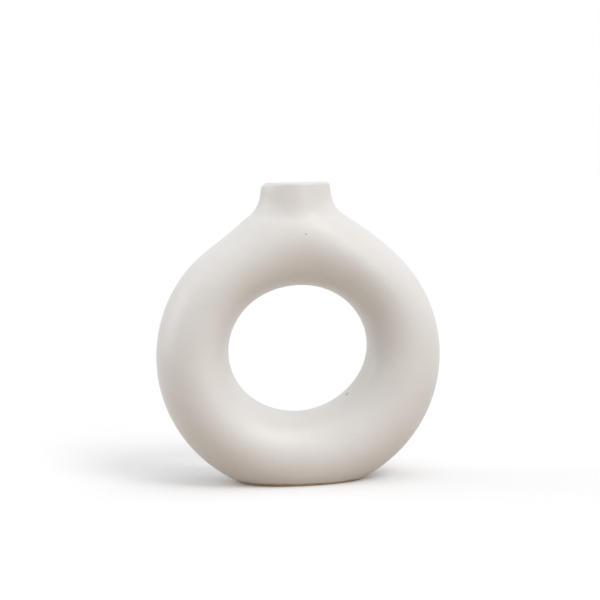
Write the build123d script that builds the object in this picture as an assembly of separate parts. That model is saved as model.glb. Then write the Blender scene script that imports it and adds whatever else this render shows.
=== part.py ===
from build123d import *
import os
from math import cos, exp, radians, sin, sqrt, tan

# Ring-shaped flower vase in glazed stoneware. Sizes are in millimetres, +Z is up, the ring lies
# in the XZ plane, the front faces -Y, and the origin is the centre of the foot on the table.

# Outline of the ring seen from the front: an upright ellipse, cut flat by the foot at Z = 0
RING_HALF_WIDTH = 95.5
RING_HALF_HEIGHT = 93.2
FOOT_CUT_DEPTH = 9.1

# The crown of the ring is drawn up towards the neck, in a bell curve over this half angle
CROWN_RISE = 12.3
CROWN_SPREAD_DEGREES = 22.0

# Width of the tube around the hole, seen from the front: at the sides and under the crown, and
# the height of the hole above the table. The hole is a second ellipse
SIDE_TUBE_WIDTH = 48.3
TOP_TUBE_WIDTH = 45.8
HOLE_BOTTOM_HEIGHT = 46.5

# Hollow tube of the ring: its size from front to back, its clay thickness and its foot
TUBE_DEPTH = 64.0
WALL = 5.0
FLOOR_THICKNESS = 6.5
FOOT_EDGE_ROUND = 1.2

# Short neck above the ring, with the collar that carries the mouth
NECK_HEIGHT = 22.7
NECK_TAPER_DEGREES = 7.5
NECK_BLEND_RADIUS = 18.0
THROAT_RADIUS = 17.4
LIP_WALL = 5.2
LIP_ROUND = 2.5
COLLAR_HEIGHT = 17.0

# Sections across the tube in one half of the ring, and how far its loft runs past X = 0
SECTION_COUNT = 17
OVERRUN_DEGREES = 18.0

RING_CENTRE_HEIGHT = RING_HALF_HEIGHT - FOOT_CUT_DEPTH
RING_TOP = RING_CENTRE_HEIGHT + RING_HALF_HEIGHT
HOLE_HALF_WIDTH = RING_HALF_WIDTH - SIDE_TUBE_WIDTH
HOLE_TOP = RING_TOP - TOP_TUBE_WIDTH
HOLE_HALF_HEIGHT = (HOLE_TOP - HOLE_BOTTOM_HEIGHT) / 2
HOLE_CENTRE_HEIGHT = (HOLE_TOP + HOLE_BOTTOM_HEIGHT) / 2
MIDDLE_HALF_WIDTH = (RING_HALF_WIDTH + HOLE_HALF_WIDTH) / 2
MIDDLE_HALF_HEIGHT = (RING_HALF_HEIGHT + HOLE_HALF_HEIGHT) / 2
MIDDLE_CENTRE_HEIGHT = (RING_CENTRE_HEIGHT + HOLE_CENTRE_HEIGHT) / 2
MIDDLE_TOP = MIDDLE_CENTRE_HEIGHT + MIDDLE_HALF_HEIGHT
LIP_RADIUS = THROAT_RADIUS + LIP_WALL
LIP_HEIGHT = RING_TOP + NECK_HEIGHT
SEAT_HEIGHT = LIP_HEIGHT - COLLAR_HEIGHT
REACH = 2 * (RING_HALF_WIDTH + LIP_HEIGHT)


def signed_distance(point, outward, half_width, half_height, centre_height):
    """Distance along outward from point to an upright ellipse, negative where it lies behind."""
    rise = point.Z - centre_height
    square = (outward.X / half_width) ** 2 + (outward.Z / half_height) ** 2
    half_linear = point.X * outward.X / half_width**2 + rise * outward.Z / half_height**2
    constant = (point.X / half_width) ** 2 + (rise / half_height) ** 2 - 1
    return (sqrt(half_linear**2 - square * constant) - half_linear) / square


def tube_section(degrees, inset):
    """Ellipse square to the middle line of the tube, drawn inside the tube's surface by inset."""
    across = cos(radians(degrees))
    upward = sin(radians(degrees))
    middle = Vector(MIDDLE_HALF_WIDTH * across, 0, MIDDLE_CENTRE_HEIGHT + MIDDLE_HALF_HEIGHT * upward)
    outward = Vector(MIDDLE_HALF_HEIGHT * across, 0, MIDDLE_HALF_WIDTH * upward).normalized()
    inner = signed_distance(middle, outward, HOLE_HALF_WIDTH, HOLE_HALF_HEIGHT, HOLE_CENTRE_HEIGHT)
    outer = signed_distance(middle, outward, RING_HALF_WIDTH, RING_HALF_HEIGHT, RING_CENTRE_HEIGHT)
    outer += CROWN_RISE * exp(-(((90 - degrees) / CROWN_SPREAD_DEGREES) ** 2))
    centre = middle + outward * (inner + outer) / 2
    plane = Plane(origin=centre, x_dir=outward, z_dir=(-outward.Z, 0, outward.X))
    half_width = (outer - inner) / 2 - inset
    half_depth = TUBE_DEPTH / 2 - inset
    halves = [EllipticalCenterArc((0, 0), half_width, half_depth, start, arc_size=180) for start in (0, 180)]
    return plane * make_face(halves)


def upper_space(height):
    """Large block that fills everything above height."""
    return Pos(0, 0, height) * Box(REACH, REACH, REACH, align=(Align.CENTER, Align.CENTER, Align.MIN))


def half_ring(inset, floor, ruled):
    """Right half of the ring, inset from the outside of the vase and cut flat at the height floor."""
    start = -90 - OVERRUN_DEGREES
    step = (180 + 2 * OVERRUN_DEGREES) / (SECTION_COUNT - 1)
    sections = [tube_section(start + step * index, inset) for index in range(SECTION_COUNT)]
    right_side = Box(REACH, REACH, REACH, align=(Align.MIN, Align.CENTER, Align.MIN))
    return loft(sections, ruled=ruled) & Pos(0, 0, floor) * right_side


def outer_ring():
    """The ring as a smooth solid, with the edge of its foot softened."""
    right = half_ring(0, 0, False)
    foot_edge = right.edges().group_by(Axis.Z)[0].filter_by(GeomType.LINE, reverse=True)
    right = fillet(foot_edge, FOOT_EDGE_ROUND)
    return right + mirror(right, about=Plane.YZ)


def chamber():
    """The water space inside the ring. Nobody sees it, so it runs straight between its sections."""
    right = half_ring(WALL, FLOOR_THICKNESS, True)
    return right + mirror(right, about=Plane.YZ)


def neck_blank():
    """Solid neck, slightly conical, rooted in the middle of the tube."""
    root_radius = LIP_RADIUS + (LIP_HEIGHT - MIDDLE_TOP) * tan(radians(NECK_TAPER_DEGREES))
    half_profile = Polyline(
        (0, MIDDLE_TOP),
        (root_radius, MIDDLE_TOP),
        (LIP_RADIUS, LIP_HEIGHT),
        (0, LIP_HEIGHT),
        close=True,
    )
    return revolve(Plane.XZ * make_face(half_profile), Axis.Z)


def outer_form():
    """Ring and neck as one solid form, blended together where they meet."""
    form = outer_ring() + neck_blank()
    neck_side = form.faces().filter_by(GeomType.CONE)
    return fillet(neck_side.edges().filter_by(GeomType.BSPLINE), NECK_BLEND_RADIUS)


def hollow_vase():
    """The outer form with its water chamber, its throat and its rounded lip."""
    throat = Cylinder(THROAT_RADIUS, LIP_HEIGHT, align=(Align.CENTER, Align.CENTER, Align.MIN))
    vase = outer_form() - chamber() - Pos(0, 0, MIDDLE_TOP) * throat
    return fillet(vase.edges().group_by(Axis.Z)[-1], min(LIP_ROUND, 0.49 * LIP_WALL))


def pieces():
    """The clay pieces by name: two half shells that meet at Y = 0, and the collar luted on top."""
    vase = hollow_vase()
    ring = vase - upper_space(SEAT_HEIGHT)
    front_side = Box(REACH, REACH, REACH, align=(Align.CENTER, Align.MAX, Align.CENTER))
    return {
        "front_shell": ring & front_side,
        "rear_shell": ring - front_side,
        "neck_collar": vase & upper_space(SEAT_HEIGHT),
    }


os.makedirs("parts", exist_ok=True)
for name, piece in pieces().items():
    export_step(piece, f"parts/{name}.step")
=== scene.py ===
import math

import bpy
import numpy as np
from mathutils import Matrix, Vector


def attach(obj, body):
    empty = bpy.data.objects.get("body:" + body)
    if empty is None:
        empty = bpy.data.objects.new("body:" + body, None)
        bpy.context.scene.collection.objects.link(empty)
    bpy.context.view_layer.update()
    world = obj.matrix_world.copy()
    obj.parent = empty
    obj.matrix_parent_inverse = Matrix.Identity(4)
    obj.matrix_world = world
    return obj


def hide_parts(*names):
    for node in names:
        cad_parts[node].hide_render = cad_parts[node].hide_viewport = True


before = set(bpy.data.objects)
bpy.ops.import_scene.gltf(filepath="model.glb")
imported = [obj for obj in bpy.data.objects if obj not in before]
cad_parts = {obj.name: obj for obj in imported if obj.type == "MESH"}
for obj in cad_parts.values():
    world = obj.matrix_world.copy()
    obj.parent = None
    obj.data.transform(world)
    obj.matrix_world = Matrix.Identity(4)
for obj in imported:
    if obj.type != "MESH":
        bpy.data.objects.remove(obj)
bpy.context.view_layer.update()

# Sizes of the vase in millimetres, the same as in the construction
RING_HALF_WIDTH = 95.5
RING_HALF_HEIGHT = 93.2
FOOT_CUT_DEPTH = 9.1
CROWN_RISE = 12.3
CROWN_SPREAD = 22.0
SIDE_TUBE_WIDTH = 48.3
TOP_TUBE_WIDTH = 45.8
HOLE_BOTTOM = 46.5
TUBE_DEPTH = 64.0
WALL = 5.0
FLOOR = 6.5
FOOT_ROUND = 1.2
NECK_HEIGHT = 22.7
NECK_TAPER = math.radians(7.5)
NECK_BLEND = 18.0
THROAT_RADIUS = 17.4
LIP_WALL = 5.2
LIP_ROUND = 2.5
COLLAR_HEIGHT = 17.0

RING_CENTRE = RING_HALF_HEIGHT - FOOT_CUT_DEPTH
RING_TOP = RING_CENTRE + RING_HALF_HEIGHT
HOLE_HALF_WIDTH = RING_HALF_WIDTH - SIDE_TUBE_WIDTH
HOLE_TOP = RING_TOP - TOP_TUBE_WIDTH
HOLE_HALF_HEIGHT = (HOLE_TOP - HOLE_BOTTOM) / 2
HOLE_CENTRE = (HOLE_TOP + HOLE_BOTTOM) / 2
MIDDLE_HALF_WIDTH = (RING_HALF_WIDTH + HOLE_HALF_WIDTH) / 2
MIDDLE_HALF_HEIGHT = (RING_HALF_HEIGHT + HOLE_HALF_HEIGHT) / 2
MIDDLE_CENTRE = (RING_CENTRE + HOLE_CENTRE) / 2
LIP_RADIUS = THROAT_RADIUS + LIP_WALL
LIP_HEIGHT = RING_TOP + NECK_HEIGHT
SEAT_HEIGHT = LIP_HEIGHT - COLLAR_HEIGHT

# Steps of the mesh around the ring and around the tube, and half sizes of the two round patches
RING_STEPS = 288
TUBE_STEPS = 96
NECK_BLOCK = (16, 20)
FOOT_BLOCK = (26, 18)

# Rows of vertices from the neck patch's edge to the collar's seat, up the collar and over the lip
PATCH_ROWS = 13
COLLAR_ROWS = 8
LIP_ROWS = 8

# Rounds in which the neck patch's rows are evened out, and the share of the way to the middle of its
# neighbours that a vertex moves in each
EVENING_ROUNDS = 25
EVENING_SHARE = 0.6

# Rows of the foot patch: steps down the ring and the power that spaces them, then distances outside
# and inside the foot's rim, then shares of the way out from the middle
FOOT_STEPS = 9
FOOT_STEP_POWER = 1.15
RIM_OUTSIDE = (2.2, 1.6, 1.1, 0.7, 0.3)
RIM_INSIDE = (0.0, 0.3, 0.7, 1.1, 1.6, 2.4)
FOOT_SHARES = (0.86, 0.7, 0.54, 0.38, 0.22, 0.1)

# How much the foot patch's spokes are spread along X, because the foot is longer than deep
FOOT_STRETCH = 1.75

# Least and greatest distance in the searches for the throat's lower end, the neck's side and the
# foot's rim, and how often each search is halved
THROAT_SEARCH = (160, 192)
NECK_SEARCH = (15, 60)
FOOT_SEARCH = (2, 45)
HALVINGS = 40

# Rounds in which the nearest place on the tube's middle line is found
MIDDLE_LINE_ROUNDS = 6

# Step with which slopes are taken, and the longest move of a vertex in one round of settling
SLOPE_STEP = 0.02
LONGEST_MOVE = 4

# Where the neck's blend and the foot's rounded edge are worked out, and the limits of the cosine
# between the surfaces that meet there
NECK_REGION_BOTTOM = 150
NECK_REGION_HALF_WIDTH = 70
FOOT_REGION_TOP = 12
COSINE_LIMITS = (-0.9, 0.985)


def ellipse_distance(x, z, out_x, out_z, half_width, half_height, centre):
    """Distance along a direction from points to an upright ellipse."""
    rise = z - centre
    square = (out_x / half_width) ** 2 + (out_z / half_height) ** 2
    half_linear = x * out_x / half_width**2 + rise * out_z / half_height**2
    constant = (x / half_width) ** 2 + (rise / half_height) ** 2 - 1
    return (np.sqrt(half_linear**2 - square * constant) - half_linear) / square


def section(angle):
    """Centre, outward direction and half width of the tube's section at angles of the middle line."""
    middle_x = MIDDLE_HALF_WIDTH * np.cos(angle)
    middle_z = MIDDLE_CENTRE + MIDDLE_HALF_HEIGHT * np.sin(angle)
    out_x = MIDDLE_HALF_HEIGHT * np.cos(angle)
    out_z = MIDDLE_HALF_WIDTH * np.sin(angle)
    length = np.hypot(out_x, out_z)
    out_x = out_x / length
    out_z = out_z / length
    ray = (middle_x, middle_z, out_x, out_z)
    inner = ellipse_distance(*ray, HOLE_HALF_WIDTH, HOLE_HALF_HEIGHT, HOLE_CENTRE)
    outer = ellipse_distance(*ray, RING_HALF_WIDTH, RING_HALF_HEIGHT, RING_CENTRE)
    from_top = np.degrees(np.arccos(np.clip(np.sin(angle), -1, 1)))
    outer = outer + CROWN_RISE * np.exp(-((from_top / CROWN_SPREAD) ** 2))
    centre = (inner + outer) / 2
    return middle_x + out_x * centre, middle_z + out_z * centre, out_x, out_z, (outer - inner) / 2


def ring_point(angle, turn, inset):
    """Point of the ring's surface at an angle around the ring and a turn around the tube."""
    x, z, out_x, out_z, half_width = section(angle)
    reach = (half_width - inset) * np.cos(turn)
    depth = (TUBE_DEPTH / 2 - inset) * np.sin(turn)
    return np.stack([x + out_x * reach, depth, z + out_z * reach], -1)


def tube_coordinates(p):
    """Place of points across the tube: outward, half width there, and the outward direction."""
    x = p[:, 0]
    z = p[:, 2] - MIDDLE_CENTRE
    angle = np.arctan2(z / MIDDLE_HALF_HEIGHT, x / MIDDLE_HALF_WIDTH)
    for _ in range(MIDDLE_LINE_ROUNDS):
        away_x = x - MIDDLE_HALF_WIDTH * np.cos(angle)
        away_z = z - MIDDLE_HALF_HEIGHT * np.sin(angle)
        along_x = -MIDDLE_HALF_WIDTH * np.sin(angle)
        along_z = MIDDLE_HALF_HEIGHT * np.cos(angle)
        value = away_x * along_x + away_z * along_z
        slope = -(along_x**2) - along_z**2
        slope = slope - away_x * MIDDLE_HALF_WIDTH * np.cos(angle)
        slope = slope - away_z * MIDDLE_HALF_HEIGHT * np.sin(angle)
        angle = angle - value / slope
    cx, cz, out_x, out_z, half_width = section(angle)
    return (p[:, 0] - cx) * out_x + (p[:, 2] - cz) * out_z, half_width, out_x, out_z


def ring_distance(p, inset):
    """Distance of points from the ring's surface, to first order."""
    across, half_width, _, _ = tube_coordinates(p)
    width = half_width - inset
    depth = TUBE_DEPTH / 2 - inset
    reach = np.sqrt((across / width) ** 2 + (p[:, 1] / depth) ** 2)
    slope = np.sqrt((across / width**2) ** 2 + (p[:, 1] / depth**2) ** 2)
    return (reach - 1) * reach / np.maximum(slope, 1e-9)


def neck_distance(p):
    """Distance of points from the side of the neck."""
    radius = LIP_RADIUS + (LIP_HEIGHT - p[:, 2]) * math.tan(NECK_TAPER)
    return (np.hypot(p[:, 0], p[:, 1]) - radius) * math.cos(NECK_TAPER)


def gradient(field, p):
    """Slope of a field at points, by small steps."""
    columns = []
    for axis in range(3):
        ahead = p.copy()
        behind = p.copy()
        ahead[:, axis] += SLOPE_STEP
        behind[:, axis] -= SLOPE_STEP
        columns.append((field(ahead) - field(behind)) / (2 * SLOPE_STEP))
    return np.stack(columns, 1)


def unit(vectors):
    """Vectors brought to length 1."""
    return vectors / np.maximum(np.linalg.norm(vectors, axis=1, keepdims=True), 1e-12)


def plain_ring_field(p):
    """Distance from the outside of the ring alone."""
    return ring_distance(p, 0)


def chamber_field(p):
    """Distance from the water chamber's wall."""
    return ring_distance(p, WALL)


def corner(first, second, cosine):
    """Distance from the line that two surfaces are rounded about, and which points it counts for."""
    square = (first**2 + second**2 - 2 * cosine * first * second) / (1 - cosine**2)
    counts = (first > cosine * second) & (second > cosine * first)
    counts &= (first > 0) & (second > 0)
    return np.sqrt(np.maximum(square, 0)), counts


def outer_field(p):
    """Distance from the outside: ring and neck with their round blend, and the rounded foot."""
    ring = plain_ring_field(p)
    result = ring.copy()
    near_neck = (p[:, 2] > NECK_REGION_BOTTOM) & (np.abs(p[:, 0]) < NECK_REGION_HALF_WIDTH)
    high = np.nonzero(near_neck)[0]
    if len(high):
        q = p[high]
        a = ring[high]
        b = neck_distance(q)
        cosine = np.sum(unit(gradient(plain_ring_field, q)) * unit(gradient(neck_distance, q)), 1)
        cosine = np.clip(cosine, *COSINE_LIMITS)
        away, blended = corner(NECK_BLEND - a, NECK_BLEND - b, cosine)
        result[high] = np.where(blended, NECK_BLEND - away, np.minimum(a, b))
    low = np.nonzero(p[:, 2] < FOOT_REGION_TOP)[0]
    if len(low):
        q = p[low]
        a = ring[low]
        below = -q[:, 2]
        cosine = -unit(gradient(plain_ring_field, q))[:, 2]
        cosine = np.clip(cosine, *COSINE_LIMITS)
        away, rounded = corner(a + FOOT_ROUND, below + FOOT_ROUND, cosine)
        result[low] = np.where(rounded, away - FOOT_ROUND, np.maximum(a, below))
    return result


def settle(field, p, rounds=8):
    """Points moved onto the surface where a field is zero."""
    for _ in range(rounds):
        slope = gradient(field, p)
        value = field(p)
        move = slope * (value / np.maximum(np.sum(slope**2, 1), 1e-6))[:, None]
        length = np.linalg.norm(move, axis=1, keepdims=True)
        p = p - move * np.minimum(1, LONGEST_MOVE / np.maximum(length, 1e-9))
    return p


def reach_along(field, origin, direction, low, high):
    """Distances along directions at which a field turns from inside to outside."""
    low = np.full(len(direction), float(low))
    high = np.full(len(direction), float(high))
    for _ in range(HALVINGS):
        middle = (low + high) / 2
        inside = field(origin + direction * middle[:, None]) < 0
        low = np.where(inside, middle, low)
        high = np.where(inside, high, middle)
    return (low + high) / 2


def block_loop(half_ring, half_tube, centre_step):
    """Grid vertices around a rectangular block, counted from +X, with their ring and tube steps."""
    loop = [(-half_ring, j) for j in range(0, half_tube)]
    loop += [(i, half_tube) for i in range(-half_ring, half_ring)]
    loop += [(half_ring, j) for j in range(half_tube, -half_tube, -1)]
    loop += [(i, -half_tube) for i in range(half_ring, -half_ring, -1)]
    loop += [(-half_ring, j) for j in range(-half_tube, 0)]
    return [((centre_step + i) % RING_STEPS, j % TUBE_STEPS) for i, j in loop]


def skin(inside):
    """One skin of the vase: vertices and faces. Both skins have the same numbering."""
    inset = WALL if inside else 0
    i, j = np.meshgrid(np.arange(RING_STEPS), np.arange(TUBE_STEPS), indexing="ij")
    grid = ring_point(i.ravel() * 2 * np.pi / RING_STEPS, j.ravel() * 2 * np.pi / TUBE_STEPS, inset)
    points = [grid]
    faces = []
    top_step = RING_STEPS // 4
    foot_step = 3 * RING_STEPS // 4

    def in_block(a, b, block, centre):
        """True if the grid's face at a ring step and a tube step is replaced by a patch."""
        ring_part = (a - centre + RING_STEPS // 2) % RING_STEPS - RING_STEPS // 2
        tube_part = (b + TUBE_STEPS // 2) % TUBE_STEPS - TUBE_STEPS // 2
        return -block[0] <= ring_part < block[0] and -block[1] <= tube_part < block[1]

    for a in range(RING_STEPS):
        for b in range(TUBE_STEPS):
            if in_block(a, b, NECK_BLOCK, top_step) or in_block(a, b, FOOT_BLOCK, foot_step):
                continue
            c = (a + 1) % RING_STEPS
            d = (b + 1) % TUBE_STEPS
            corners = ((a, b), (c, b), (c, d), (a, d))
            faces.append([u * TUBE_STEPS + v for u, v in corners])
    total = len(grid)
    grid_edges = {(face[k], face[(k + 1) % 4]) for face in faces for k in range(4)}

    def against_grid(start_loop):
        """True if the grid's faces run along the loop in the loop's own direction."""
        return (start_loop[0], start_loop[1]) in grid_edges

    def add_rows(start_loop, rows):
        """Adds rows of vertices, joined to each other and to a loop that is there already."""
        nonlocal total
        last = list(start_loop)
        turned = against_grid(start_loop)
        for row in rows:
            points.append(row)
            new = list(range(total, total + len(row)))
            total += len(row)
            for k in range(len(new)):
                n = (k + 1) % len(new)
                quad = [last[k], last[n], new[n], new[k]]
                faces.append(quad[::-1] if turned else quad)
            last = new
        return last

    def patch_edge(block, centre_step):
        """Numbers and points of the grid around a block, and their angles around it."""
        start = [u * TUBE_STEPS + v for u, v in block_loop(*block, centre_step)]
        return start, grid[start], np.arange(len(start)) * 2 * np.pi / len(start)

    # Neck patch: from the block's edge to the seat of the collar, then up to the lip
    start, edge, turn = patch_edge(NECK_BLOCK, top_step)
    count = len(start)
    spokes = np.stack([np.cos(turn), np.sin(turn), np.zeros(count)], 1)
    # The spokes go round the same way as the loop
    spokes = spokes * [1, np.sign(edge[1, 1]), 1]

    def wall_row(height):
        """Vertices around the neck at a height: on the throat's wall, or on the outside."""
        level = np.array([0, 0, height])
        if inside:
            return spokes * THROAT_RADIUS + level
        return level + spokes * reach_along(outer_field, level, spokes, *NECK_SEARCH)[:, None]

    if inside:
        throat = spokes * THROAT_RADIUS
        upward = np.tile([0.0, 0.0, 1.0], (count, 1))
        bottom = reach_along(chamber_field, throat, upward, *THROAT_SEARCH)
        target = throat + upward * bottom[:, None]
        rows = []
        for k in range(1, PATCH_ROWS - 1):
            rows.append(settle(chamber_field, edge + (target - edge) * k / (PATCH_ROWS - 1)))
        rows.append(target)
        rows.append(wall_row(SEAT_HEIGHT))
    else:
        target = wall_row(SEAT_HEIGHT)
        fractions = np.linspace(0, 1, PATCH_ROWS + 1)[1:-1]
        free = [settle(outer_field, edge + (target - edge) * f) for f in fractions]
        for _ in range(EVENING_ROUNDS):
            all_rows = [edge] + free + [target]
            for k in range(1, len(all_rows) - 1):
                sideways = (np.roll(all_rows[k], 1, 0) + np.roll(all_rows[k], -1, 0)) / 2
                middle = (all_rows[k - 1] + all_rows[k + 1] + sideways) / 3
                all_rows[k] = all_rows[k] * (1 - EVENING_SHARE) + middle * EVENING_SHARE
            free = all_rows[1:-1]
            free = np.split(settle(outer_field, np.vstack(free), rounds=2), len(free))
        free = np.split(settle(outer_field, np.vstack(free), rounds=5), len(free))
        rows = free + [target]
    shoulder = LIP_HEIGHT - LIP_ROUND
    for height in np.linspace(SEAT_HEIGHT, shoulder, COLLAR_ROWS + 1)[1:]:
        rows.append(wall_row(height))
    side_radius = np.hypot(rows[-1][:, 0], rows[-1][:, 1])
    for k in range(1, LIP_ROWS + 1):
        bend = math.pi / 2 * k / LIP_ROWS
        drop = LIP_ROUND * (1 - math.cos(bend))
        rise = LIP_ROUND * math.sin(bend)
        if inside:
            radius = THROAT_RADIUS + drop
        else:
            radius = (side_radius - drop)[:, None]
        rows.append(spokes * radius + [0, 0, shoulder + rise])
    add_rows(start, rows)

    # Foot patch: from the block's edge over the foot's rounded edge to the middle of the foot
    start, edge, turn = patch_edge(FOOT_BLOCK, foot_step)
    count = len(start)
    side = -1 if edge[0, 0] < 0 else 1
    way = np.sign(edge[1, 1])
    level = FLOOR if inside else 0.0
    directions = np.stack([side * FOOT_STRETCH * np.cos(turn), way * np.sin(turn), np.zeros(count)], 1)
    centre = np.array([0, 0, level])
    field = chamber_field if inside else plain_ring_field
    reach = reach_along(field, centre, directions, *FOOT_SEARCH)
    rim = directions * reach[:, None] + centre
    outward = unit(edge - rim)
    length = np.linalg.norm(edge - rim, axis=1)
    first_away = RIM_OUTSIDE[0]
    rows = []
    for k in range(1, FOOT_STEPS):
        part = (1 - k / FOOT_STEPS) ** FOOT_STEP_POWER
        rows.append(rim + outward * (first_away + (length - first_away) * part)[:, None])
    for away in RIM_OUTSIDE:
        rows.append(rim + outward * away)
    on_ring = len(rows)
    inward = -unit(directions)
    for away in RIM_INSIDE:
        rows.append(rim + inward * away)
    kept = rows[-1]
    if inside:
        rows[:on_ring] = np.split(settle(chamber_field, np.vstack(rows[:on_ring])), on_ring)
    else:
        rows = np.split(settle(outer_field, np.vstack(rows), rounds=10), len(rows))
        rows[-1] = kept
    for part in FOOT_SHARES:
        rows.append(centre + (kept - centre) * part)
    last = add_rows(start, rows)
    points.append(centre[None, :])
    for k in range(count):
        triangle = [last[k], last[(k + 1) % count], total]
        faces.append(triangle[::-1] if against_grid(start) else triangle)
    return np.vstack(points), faces


# Unevenness around the hole in millimetres: its tilt and shift, waves as amount, count and phase,
# and the height above the foot over which it fades in
HOLE_TILT = 0.55
HOLE_SHIFT = -0.5
HOLE_WAVES = ((0.12, 3, 0.7), (0.08, 5, 2.1))
FADE_IN_HEIGHT = 20

# The left shoulder is a little flatter than the right one: by how much, where around the ring and
# over what angle in degrees, and the height where it ends, with the stretch over which it fades
SHOULDER_FLAT = 1.5
SHOULDER_DEGREES = 122
SHOULDER_SPREAD = 13
SHOULDER_TOP = 184
SHOULDER_FADE = 10

# The lip is worn softer on the left: inwards and downwards, and from what height and radius on,
# each with its fade, and the distance from the middle at which the wear is full
LIP_WEAR_IN = 1.5
LIP_WEAR_DOWN = 0.9
WEAR_BOTTOM = 194
WEAR_HEIGHT = 6
WEAR_RADIUS = 19.5
WEAR_WIDTH = 3
WEAR_REACH = 20

# A hair narrower than the construction, so that the fine mesh never stands proud of its facets
NARROWED = 0.9997


def handmade(p):
    """Small unevenness of the hand-built clay: around the hole, at the left shoulder and lip."""
    across, half_width, out_x, out_z = tube_coordinates(p)
    near_hole = np.clip((1 - across / half_width) / 2, 0, 1) ** 2
    around = np.arctan2(p[:, 2] - HOLE_CENTRE, p[:, 0])
    tilt = HOLE_TILT * np.sin(2 * around)
    shift = HOLE_SHIFT * np.cos(around)
    wave = sum(amount * np.sin(number * around + phase) for amount, number, phase in HOLE_WAVES)
    push = near_hole * (tilt + shift + wave) * np.clip(p[:, 2] / FADE_IN_HEIGHT, 0, 1)
    from_shoulder = np.degrees(np.arctan2(p[:, 2] - MIDDLE_CENTRE, p[:, 0])) - SHOULDER_DEGREES
    flat = np.exp(-((from_shoulder / SHOULDER_SPREAD) ** 2)) * np.clip(across / half_width, 0, 1) ** 2
    push = push - SHOULDER_FLAT * flat * np.clip((SHOULDER_TOP - p[:, 2]) / SHOULDER_FADE, 0, 1)
    moved = p.copy()
    moved[:, 0] += out_x * push
    moved[:, 0] *= NARROWED
    moved[:, 2] += out_z * push
    radius = np.hypot(p[:, 0], p[:, 1])
    near_lip = np.clip((p[:, 2] - WEAR_BOTTOM) / WEAR_HEIGHT, 0, 1) ** 2
    near_lip = near_lip * np.clip((radius - WEAR_RADIUS) / WEAR_WIDTH, 0, 1)
    soft = near_lip * np.clip(-p[:, 0] / WEAR_REACH, 0, 1) ** 1.5
    moved[:, 0] += LIP_WEAR_IN * soft
    moved[:, 2] -= LIP_WEAR_DOWN * soft
    return moved


def vertex_normals(points, faces):
    """Smooth normals of a skin, weighted by the size of the faces."""
    normals = np.zeros_like(points)
    for size in (3, 4):
        chosen = np.array([f for f in faces if len(f) == size])
        if not len(chosen):
            continue
        corners = points[chosen]
        if size == 3:
            face_normals = np.cross(corners[:, 1] - corners[:, 0], corners[:, 2] - corners[:, 0])
        else:
            face_normals = np.cross(corners[:, 2] - corners[:, 0], corners[:, 3] - corners[:, 1])
        for k in range(size):
            np.add.at(normals, chosen[:, k], face_normals)
    return unit(normals)


def oriented(points, faces, outwards):
    """Faces turned so that they all look away from the clay. All have one sense to start with."""
    face = faces[0]
    corners = points[face]
    normal = np.cross(corners[2] - corners[0], corners[3] - corners[1])
    cx, cz, _, _, _ = section(np.array([0.0]))
    away = corners.mean(0) - [cx[0], 0, cz[0]]
    right_way = (np.dot(normal, away) > 0) == outwards
    return faces if right_way else [f[::-1] for f in faces]


def piece_name(middle):
    """Part of the vase that a face belongs to, by its middle."""
    if middle[2] > SEAT_HEIGHT:
        return "collar"
    return "front" if middle[1] < 0 else "rear"


outer_points, outer_faces = skin(False)
inner_points, inner_faces = skin(True)
outer_points = handmade(outer_points)
inner_points = handmade(inner_points)
outer_faces = oriented(outer_points, outer_faces, True)
inner_faces = oriented(inner_points, inner_faces, False)
outer_normals = vertex_normals(outer_points, outer_faces)
inner_normals = vertex_normals(inner_points, inner_faces)


# Small flaws of the glaze, drawn as dark spots: partly the clay they bare, partly painted shade in
# their pits. Place in metres, radius in metres, strength
FLAWS_WITH_PAINTED_SHADE = (
    ((0.0020, -0.0313, 0.1664), 0.0007, 0.80),
    ((0.0310, -0.0067, 0.0576), 0.0019, 0.55),
    ((-0.0045, -0.0164, 0.1352), 0.0009, 0.50),
)

# Part of a flaw's radius within which it has its full strength
FLAW_CORE = 0.35

# Colours of the glaze in its clouds, of its specks, of the flaws (bared clay darkened by painted shade
# in their pits), and of the bare clay
GLAZE_COLOURS = ((0.792, 0.775, 0.755), (0.818, 0.806, 0.792))
SPECK_COLOUR = (0.62, 0.54, 0.45)
FLAW_CLAY_AND_PIT_SHADE_COLOUR = (0.30, 0.26, 0.22)
CLAY_COLOURS = ((0.50, 0.36, 0.23), (0.62, 0.47, 0.33))
BLACK = (0, 0, 0)
WHITE = (1, 1, 1)

# Scale, detail and roughness of the noises
CLOUDS = (24, 3, 0.5)
SPECKS = (900, 2, 0.6)
CLAY_GRAIN = (160, 4, 0.6)
EDGE_GRAIN = (45, 2, 0.5)
FINE_GRAIN = (420, 4, 0.6)
BROAD_GRAIN = (55, 2, 0.5)

# Values of a noise between which a colour changes: softly in the glaze and the clay, and more
# sharply around specks, which lie where the noise is lowest
SOFT_RANGE = (0.3, 0.7)
SPECK_RANGE = (0.20, 0.30)

# Relief of the glaze: noise, strength and height in metres
RELIEFS = ((FINE_GRAIN, 0.22, 0.0004), (BROAD_GRAIN, 0.25, 0.0018))

# Upper edge of the bare clay in metres: its least height, what the noise adds, and what the wiping
# adds on the left of the foot, with the X where that begins and where it is full
EDGE_LEAST = 0.0004
EDGE_WOBBLE = 0.0024
EDGE_WIPED = 0.0014
WIPED_FROM = 0.015
WIPED_TO = -0.035


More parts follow.
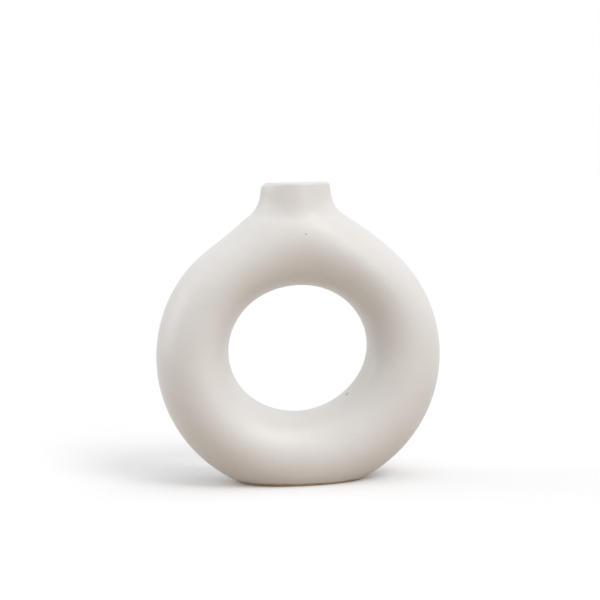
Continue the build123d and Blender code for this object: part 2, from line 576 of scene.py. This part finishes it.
def clay_material():
    """Matte off-white glaze, with specks, soft clouds and dark flaw spots (bared clay with painted pit
    shade), and bare tan clay along the foot's edge.
    """
    material = bpy.data.materials.new("matte_glaze")
    material.use_nodes = True
    tree = material.node_tree
    nodes = tree.nodes
    links = tree.links
    shader = nodes["Principled BSDF"]
    place = nodes.new("ShaderNodeTexCoord")

    def noise(scale, detail, roughness):
        """Noise that stays in place on the vase."""
        node = nodes.new("ShaderNodeTexNoise")
        node.inputs["Scale"].default_value = scale
        node.inputs["Detail"].default_value = detail
        node.inputs["Roughness"].default_value = roughness
        links.new(place.outputs["Object"], node.inputs["Vector"])
        return node.outputs["Fac"]

    def ramp(value, low, high, low_colour, high_colour):
        """Colour that goes from one to another while a value goes from low to high."""
        node = nodes.new("ShaderNodeValToRGB")
        node.color_ramp.elements[0].position = low
        node.color_ramp.elements[1].position = high
        node.color_ramp.elements[0].color = (*low_colour, 1)
        node.color_ramp.elements[1].color = (*high_colour, 1)
        links.new(value, node.inputs["Fac"])
        return node.outputs["Color"]

    def mix(factor, first, second):
        """Mixture of two colours by a factor. The second may be a plain colour."""
        node = nodes.new("ShaderNodeMix")
        node.data_type = "RGBA"
        links.new(factor, node.inputs["Factor"])
        links.new(first, node.inputs["A"])
        if isinstance(second, tuple):
            node.inputs["B"].default_value = (*second, 1)
        else:
            links.new(second, node.inputs["B"])
        return node.outputs["Result"]

    def map_range(value, from_low, from_high, to_low, to_high):
        """Value brought from one range to another, and kept within it."""
        node = nodes.new("ShaderNodeMapRange")
        links.new(value, node.inputs["Value"])
        node.inputs["From Min"].default_value = from_low
        node.inputs["From Max"].default_value = from_high
        node.inputs["To Min"].default_value = to_low
        node.inputs["To Max"].default_value = to_high
        return node.outputs["Result"]

    def flaw_and_pit_shade_mask(centre, radius, strength):
        """Mask of a small flaw of the glaze, where the shade in its pit is painted, which fades out at
        its radius.
        """
        away = nodes.new("ShaderNodeVectorMath")
        away.operation = "DISTANCE"
        links.new(place.outputs["Object"], away.inputs[0])
        away.inputs[1].default_value = centre
        return map_range(away.outputs["Value"], radius * FLAW_CORE, radius, strength, 0)

    glaze = ramp(noise(*CLOUDS), *SOFT_RANGE, *GLAZE_COLOURS)
    surface = mix(ramp(noise(*SPECKS), *SPECK_RANGE, WHITE, BLACK), glaze, SPECK_COLOUR)
    bare = ramp(noise(*CLAY_GRAIN), *SOFT_RANGE, *CLAY_COLOURS)
    # Dark spots at the flaws: bared clay with painted shade in their pits
    for flaw in FLAWS_WITH_PAINTED_SHADE:
        surface = mix(flaw_and_pit_shade_mask(*flaw), surface, FLAW_CLAY_AND_PIT_SHADE_COLOUR)
    split = nodes.new("ShaderNodeSeparateXYZ")
    links.new(place.outputs["Object"], split.inputs[0])
    wobble = nodes.new("ShaderNodeMath")
    wobble.operation = "MULTIPLY_ADD"
    links.new(noise(*EDGE_GRAIN), wobble.inputs[0])
    wobble.inputs[1].default_value = EDGE_WOBBLE
    wobble.inputs[2].default_value = EDGE_LEAST
    edge = nodes.new("ShaderNodeMath")
    edge.operation = "ADD"
    links.new(wobble.outputs[0], edge.inputs[0])
    links.new(map_range(split.outputs["X"], WIPED_FROM, WIPED_TO, 0, EDGE_WIPED), edge.inputs[1])
    below_edge = nodes.new("ShaderNodeMath")
    below_edge.operation = "LESS_THAN"
    links.new(split.outputs["Z"], below_edge.inputs[0])
    links.new(edge.outputs[0], below_edge.inputs[1])
    links.new(mix(below_edge.outputs[0], surface, bare), shader.inputs["Base Color"])

    normal = None
    for grain, strength, distance in RELIEFS:
        bump = nodes.new("ShaderNodeBump")
        bump.inputs["Strength"].default_value = strength
        bump.inputs["Distance"].default_value = distance
        links.new(noise(*grain), bump.inputs["Height"])
        if normal is not None:
            links.new(normal, bump.inputs["Normal"])
        normal = bump.outputs["Normal"]
    links.new(normal, shader.inputs["Normal"])
    shader.inputs["Roughness"].default_value = 0.38
    shader.inputs["Specular IOR Level"].default_value = 0.5
    return material


def make_piece(name, part, node, material):
    """One closed clay piece: its share of both skins, and plain faces between them along its seams."""
    offset = len(outer_points)
    skins = ((0, outer_points, outer_faces), (offset, inner_points, inner_faces))
    # Faces of the piece, each with whether it is smooth
    chosen = []
    for shift, points, faces in skins:
        for face in faces:
            if piece_name(points[face].mean(0)) == part:
                chosen.append(([v + shift for v in face], True))
    # Edges of its outer skin, as keys because these keep their order
    edges = {}
    for face, _ in chosen:
        if face[0] < offset:
            for k in range(len(face)):
                edges[(face[k], face[(k + 1) % len(face)])] = True
    for first, second in edges:
        if (second, first) not in edges:
            chosen.append(([second, first, first + offset, second + offset], False))
    used = sorted({v for face, _ in chosen for v in face})
    number = {v: k for k, v in enumerate(used)}
    points = np.vstack([outer_points, inner_points])[used] / 1000
    normals = np.vstack([outer_normals, inner_normals])
    mesh = bpy.data.meshes.new(name)
    mesh.from_pydata(points.tolist(), [], [[number[v] for v in face] for face, _ in chosen])
    mesh.update()
    mesh.polygons.foreach_set("use_smooth", [smooth for _, smooth in chosen])
    # A zero normal leaves a corner of a seam face with that face's own normal
    corner_normals = []
    for face, smooth in chosen:
        corner_normals += [tuple(normals[v]) if smooth else (0.0, 0.0, 0.0) for v in face]
    mesh.normals_split_custom_set(corner_normals)
    piece = bpy.data.objects.new(name, mesh)
    bpy.context.scene.collection.objects.link(piece)
    mesh.materials.append(material)
    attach(piece, "root")
    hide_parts(node)


glaze_material = clay_material()
make_piece("vase_front_shell", "front", "front_shell", glaze_material)
make_piece("vase_rear_shell", "rear", "rear_shell", glaze_material)
make_piece("vase_neck_collar", "collar", "neck_collar", glaze_material)


def seen_rays(nodes, links):
    """1 where a surface is seen directly, in a reflection or through glass, and 0 otherwise."""
    path = nodes.new("ShaderNodeLightPath")
    seen = path.outputs["Is Camera Ray"]
    for name in ("Is Glossy Ray", "Is Transmission Ray"):
        either = nodes.new("ShaderNodeMath")
        either.operation = "MAXIMUM"
        links.new(seen, either.inputs[0])
        links.new(path.outputs[name], either.inputs[1])
        seen = either.outputs[0]
    return seen


# Half size of the floor in metres, its colour where it is seen and for other bounced light, and the
# strength and colour of its own light where it is seen
FLOOR_HALF_SIZE = 60.0
FLOOR_SEEN = (0.95, 0.95, 0.955)
FLOOR_BOUNCED = (0.47, 0.39, 0.31)
FLOOR_LIFT = 0.08
FLOOR_LIFT_COLOUR = (0.97, 0.99, 1)

# Strength and colour of the world's light
FILL_STRENGTH = 0.545
FILL_COLOUR = (0.985, 0.99, 1)

# Soft lamps: name, direction they shine from, strength, spread in degrees and colour
WARM_WHITE = (1, 0.995, 0.985)
LAMPS = (
    ("key", (0.375, -0.56, 0.70), 0.80, 24, WARM_WHITE),
    ("low_front", (0.36, -0.87, 0.34), 0.32, 24, WARM_WHITE),
    ("top_fill", (0.25, -0.20, 0.95), 0.52, 50, WARM_WHITE),
    ("left_rim", (-0.92, 0.30, 0.24), 0.78, 45, (0.97, 0.985, 1)),
    ("right_rim", (0.866, 0.25, 0.43), 0.12, 45, (0.98, 0.99, 1)),
)

# Camera: place in metres, angles in radians, focal length and sensor width in millimetres
CAMERA_PLACE = (-0.1379, -1.0021, 0.1999)
CAMERA_YAW = 0.13822
CAMERA_PITCH = 0.07754
CAMERA_ROLL = -0.02195
FOCAL_LENGTH = 90.98
SENSOR_WIDTH = 36


def white_floor():
    """Pale floor: white where it is seen, apart from the vase's soft shadow, and tan for other
    bounced light."""
    mesh = bpy.data.meshes.new("studio_floor")
    half = FLOOR_HALF_SIZE
    corners = [(-half, -half, 0), (half, -half, 0), (half, half, 0), (-half, half, 0)]
    mesh.from_pydata(corners, [], [(0, 1, 2, 3)])
    floor = bpy.data.objects.new("studio_floor", mesh)
    bpy.context.scene.collection.objects.link(floor)
    material = bpy.data.materials.new("studio_white")
    material.use_nodes = True
    nodes = material.node_tree.nodes
    links = material.node_tree.links
    shader = nodes["Principled BSDF"]
    shader.inputs["Roughness"].default_value = 0.9
    shader.inputs["Specular IOR Level"].default_value = 0.1
    seen = seen_rays(nodes, links)
    tone = nodes.new("ShaderNodeMix")
    tone.data_type = "RGBA"
    tone.inputs["A"].default_value = (*FLOOR_BOUNCED, 1)
    tone.inputs["B"].default_value = (*FLOOR_SEEN, 1)
    links.new(seen, tone.inputs["Factor"])
    links.new(tone.outputs["Result"], shader.inputs["Base Color"])
    lift = nodes.new("ShaderNodeMath")
    lift.operation = "MULTIPLY"
    lift.inputs[1].default_value = FLOOR_LIFT
    links.new(seen, lift.inputs[0])
    shader.inputs["Emission Color"].default_value = (*FLOOR_LIFT_COLOUR, 1)
    links.new(lift.outputs[0], shader.inputs["Emission Strength"])
    mesh.materials.append(material)


def studio_light():
    """World that is white where it is seen and a plain grey fill otherwise, and the soft lamps."""
    world = bpy.data.worlds.new("studio_world")
    bpy.context.scene.world = world
    world.use_nodes = True
    nodes = world.node_tree.nodes
    links = world.node_tree.links
    backdrop = nodes["Background"]
    backdrop.inputs["Color"].default_value = (*WHITE, 1)
    backdrop.inputs["Strength"].default_value = 1.0
    fill = nodes.new("ShaderNodeBackground")
    fill.inputs["Color"].default_value = (*FILL_COLOUR, 1)
    fill.inputs["Strength"].default_value = FILL_STRENGTH
    choose = nodes.new("ShaderNodeMixShader")
    links.new(seen_rays(nodes, links), choose.inputs[0])
    links.new(fill.outputs[0], choose.inputs[1])
    links.new(backdrop.outputs[0], choose.inputs[2])
    links.new(choose.outputs[0], nodes["World Output"].inputs["Surface"])
    for name, direction, strength, spread, colour in LAMPS:
        light = bpy.data.lights.new(name, "SUN")
        light.energy = strength
        light.angle = math.radians(spread)
        light.color = colour
        lamp = bpy.data.objects.new(name, light)
        lamp.rotation_euler = Vector(direction).to_track_quat("Z", "Y").to_euler()
        bpy.context.scene.collection.objects.link(lamp)


def photo_camera():
    """Camera at the place, direction and focal length that show the vase as the photo does."""
    flat = math.cos(CAMERA_PITCH)
    drop = math.sin(CAMERA_PITCH)
    forward = Vector((flat * math.sin(CAMERA_YAW), flat * math.cos(CAMERA_YAW), -drop))
    level = Vector((math.cos(CAMERA_YAW), -math.sin(CAMERA_YAW), 0))
    lift = level.cross(forward)
    right = level * math.cos(CAMERA_ROLL) + lift * math.sin(CAMERA_ROLL)
    up = lift * math.cos(CAMERA_ROLL) - level * math.sin(CAMERA_ROLL)
    data = bpy.data.cameras.new("camera")
    data.lens = FOCAL_LENGTH
    data.sensor_width = SENSOR_WIDTH
    camera = bpy.data.objects.new("camera", data)
    turn = Matrix((right, up, -forward)).transposed().to_4x4()
    camera.matrix_world = Matrix.Translation(CAMERA_PLACE) @ turn
    bpy.context.scene.collection.objects.link(camera)
    bpy.context.scene.camera = camera


white_floor()
studio_light()
photo_camera()
bpy.context.scene.view_settings.view_transform = "Standard"
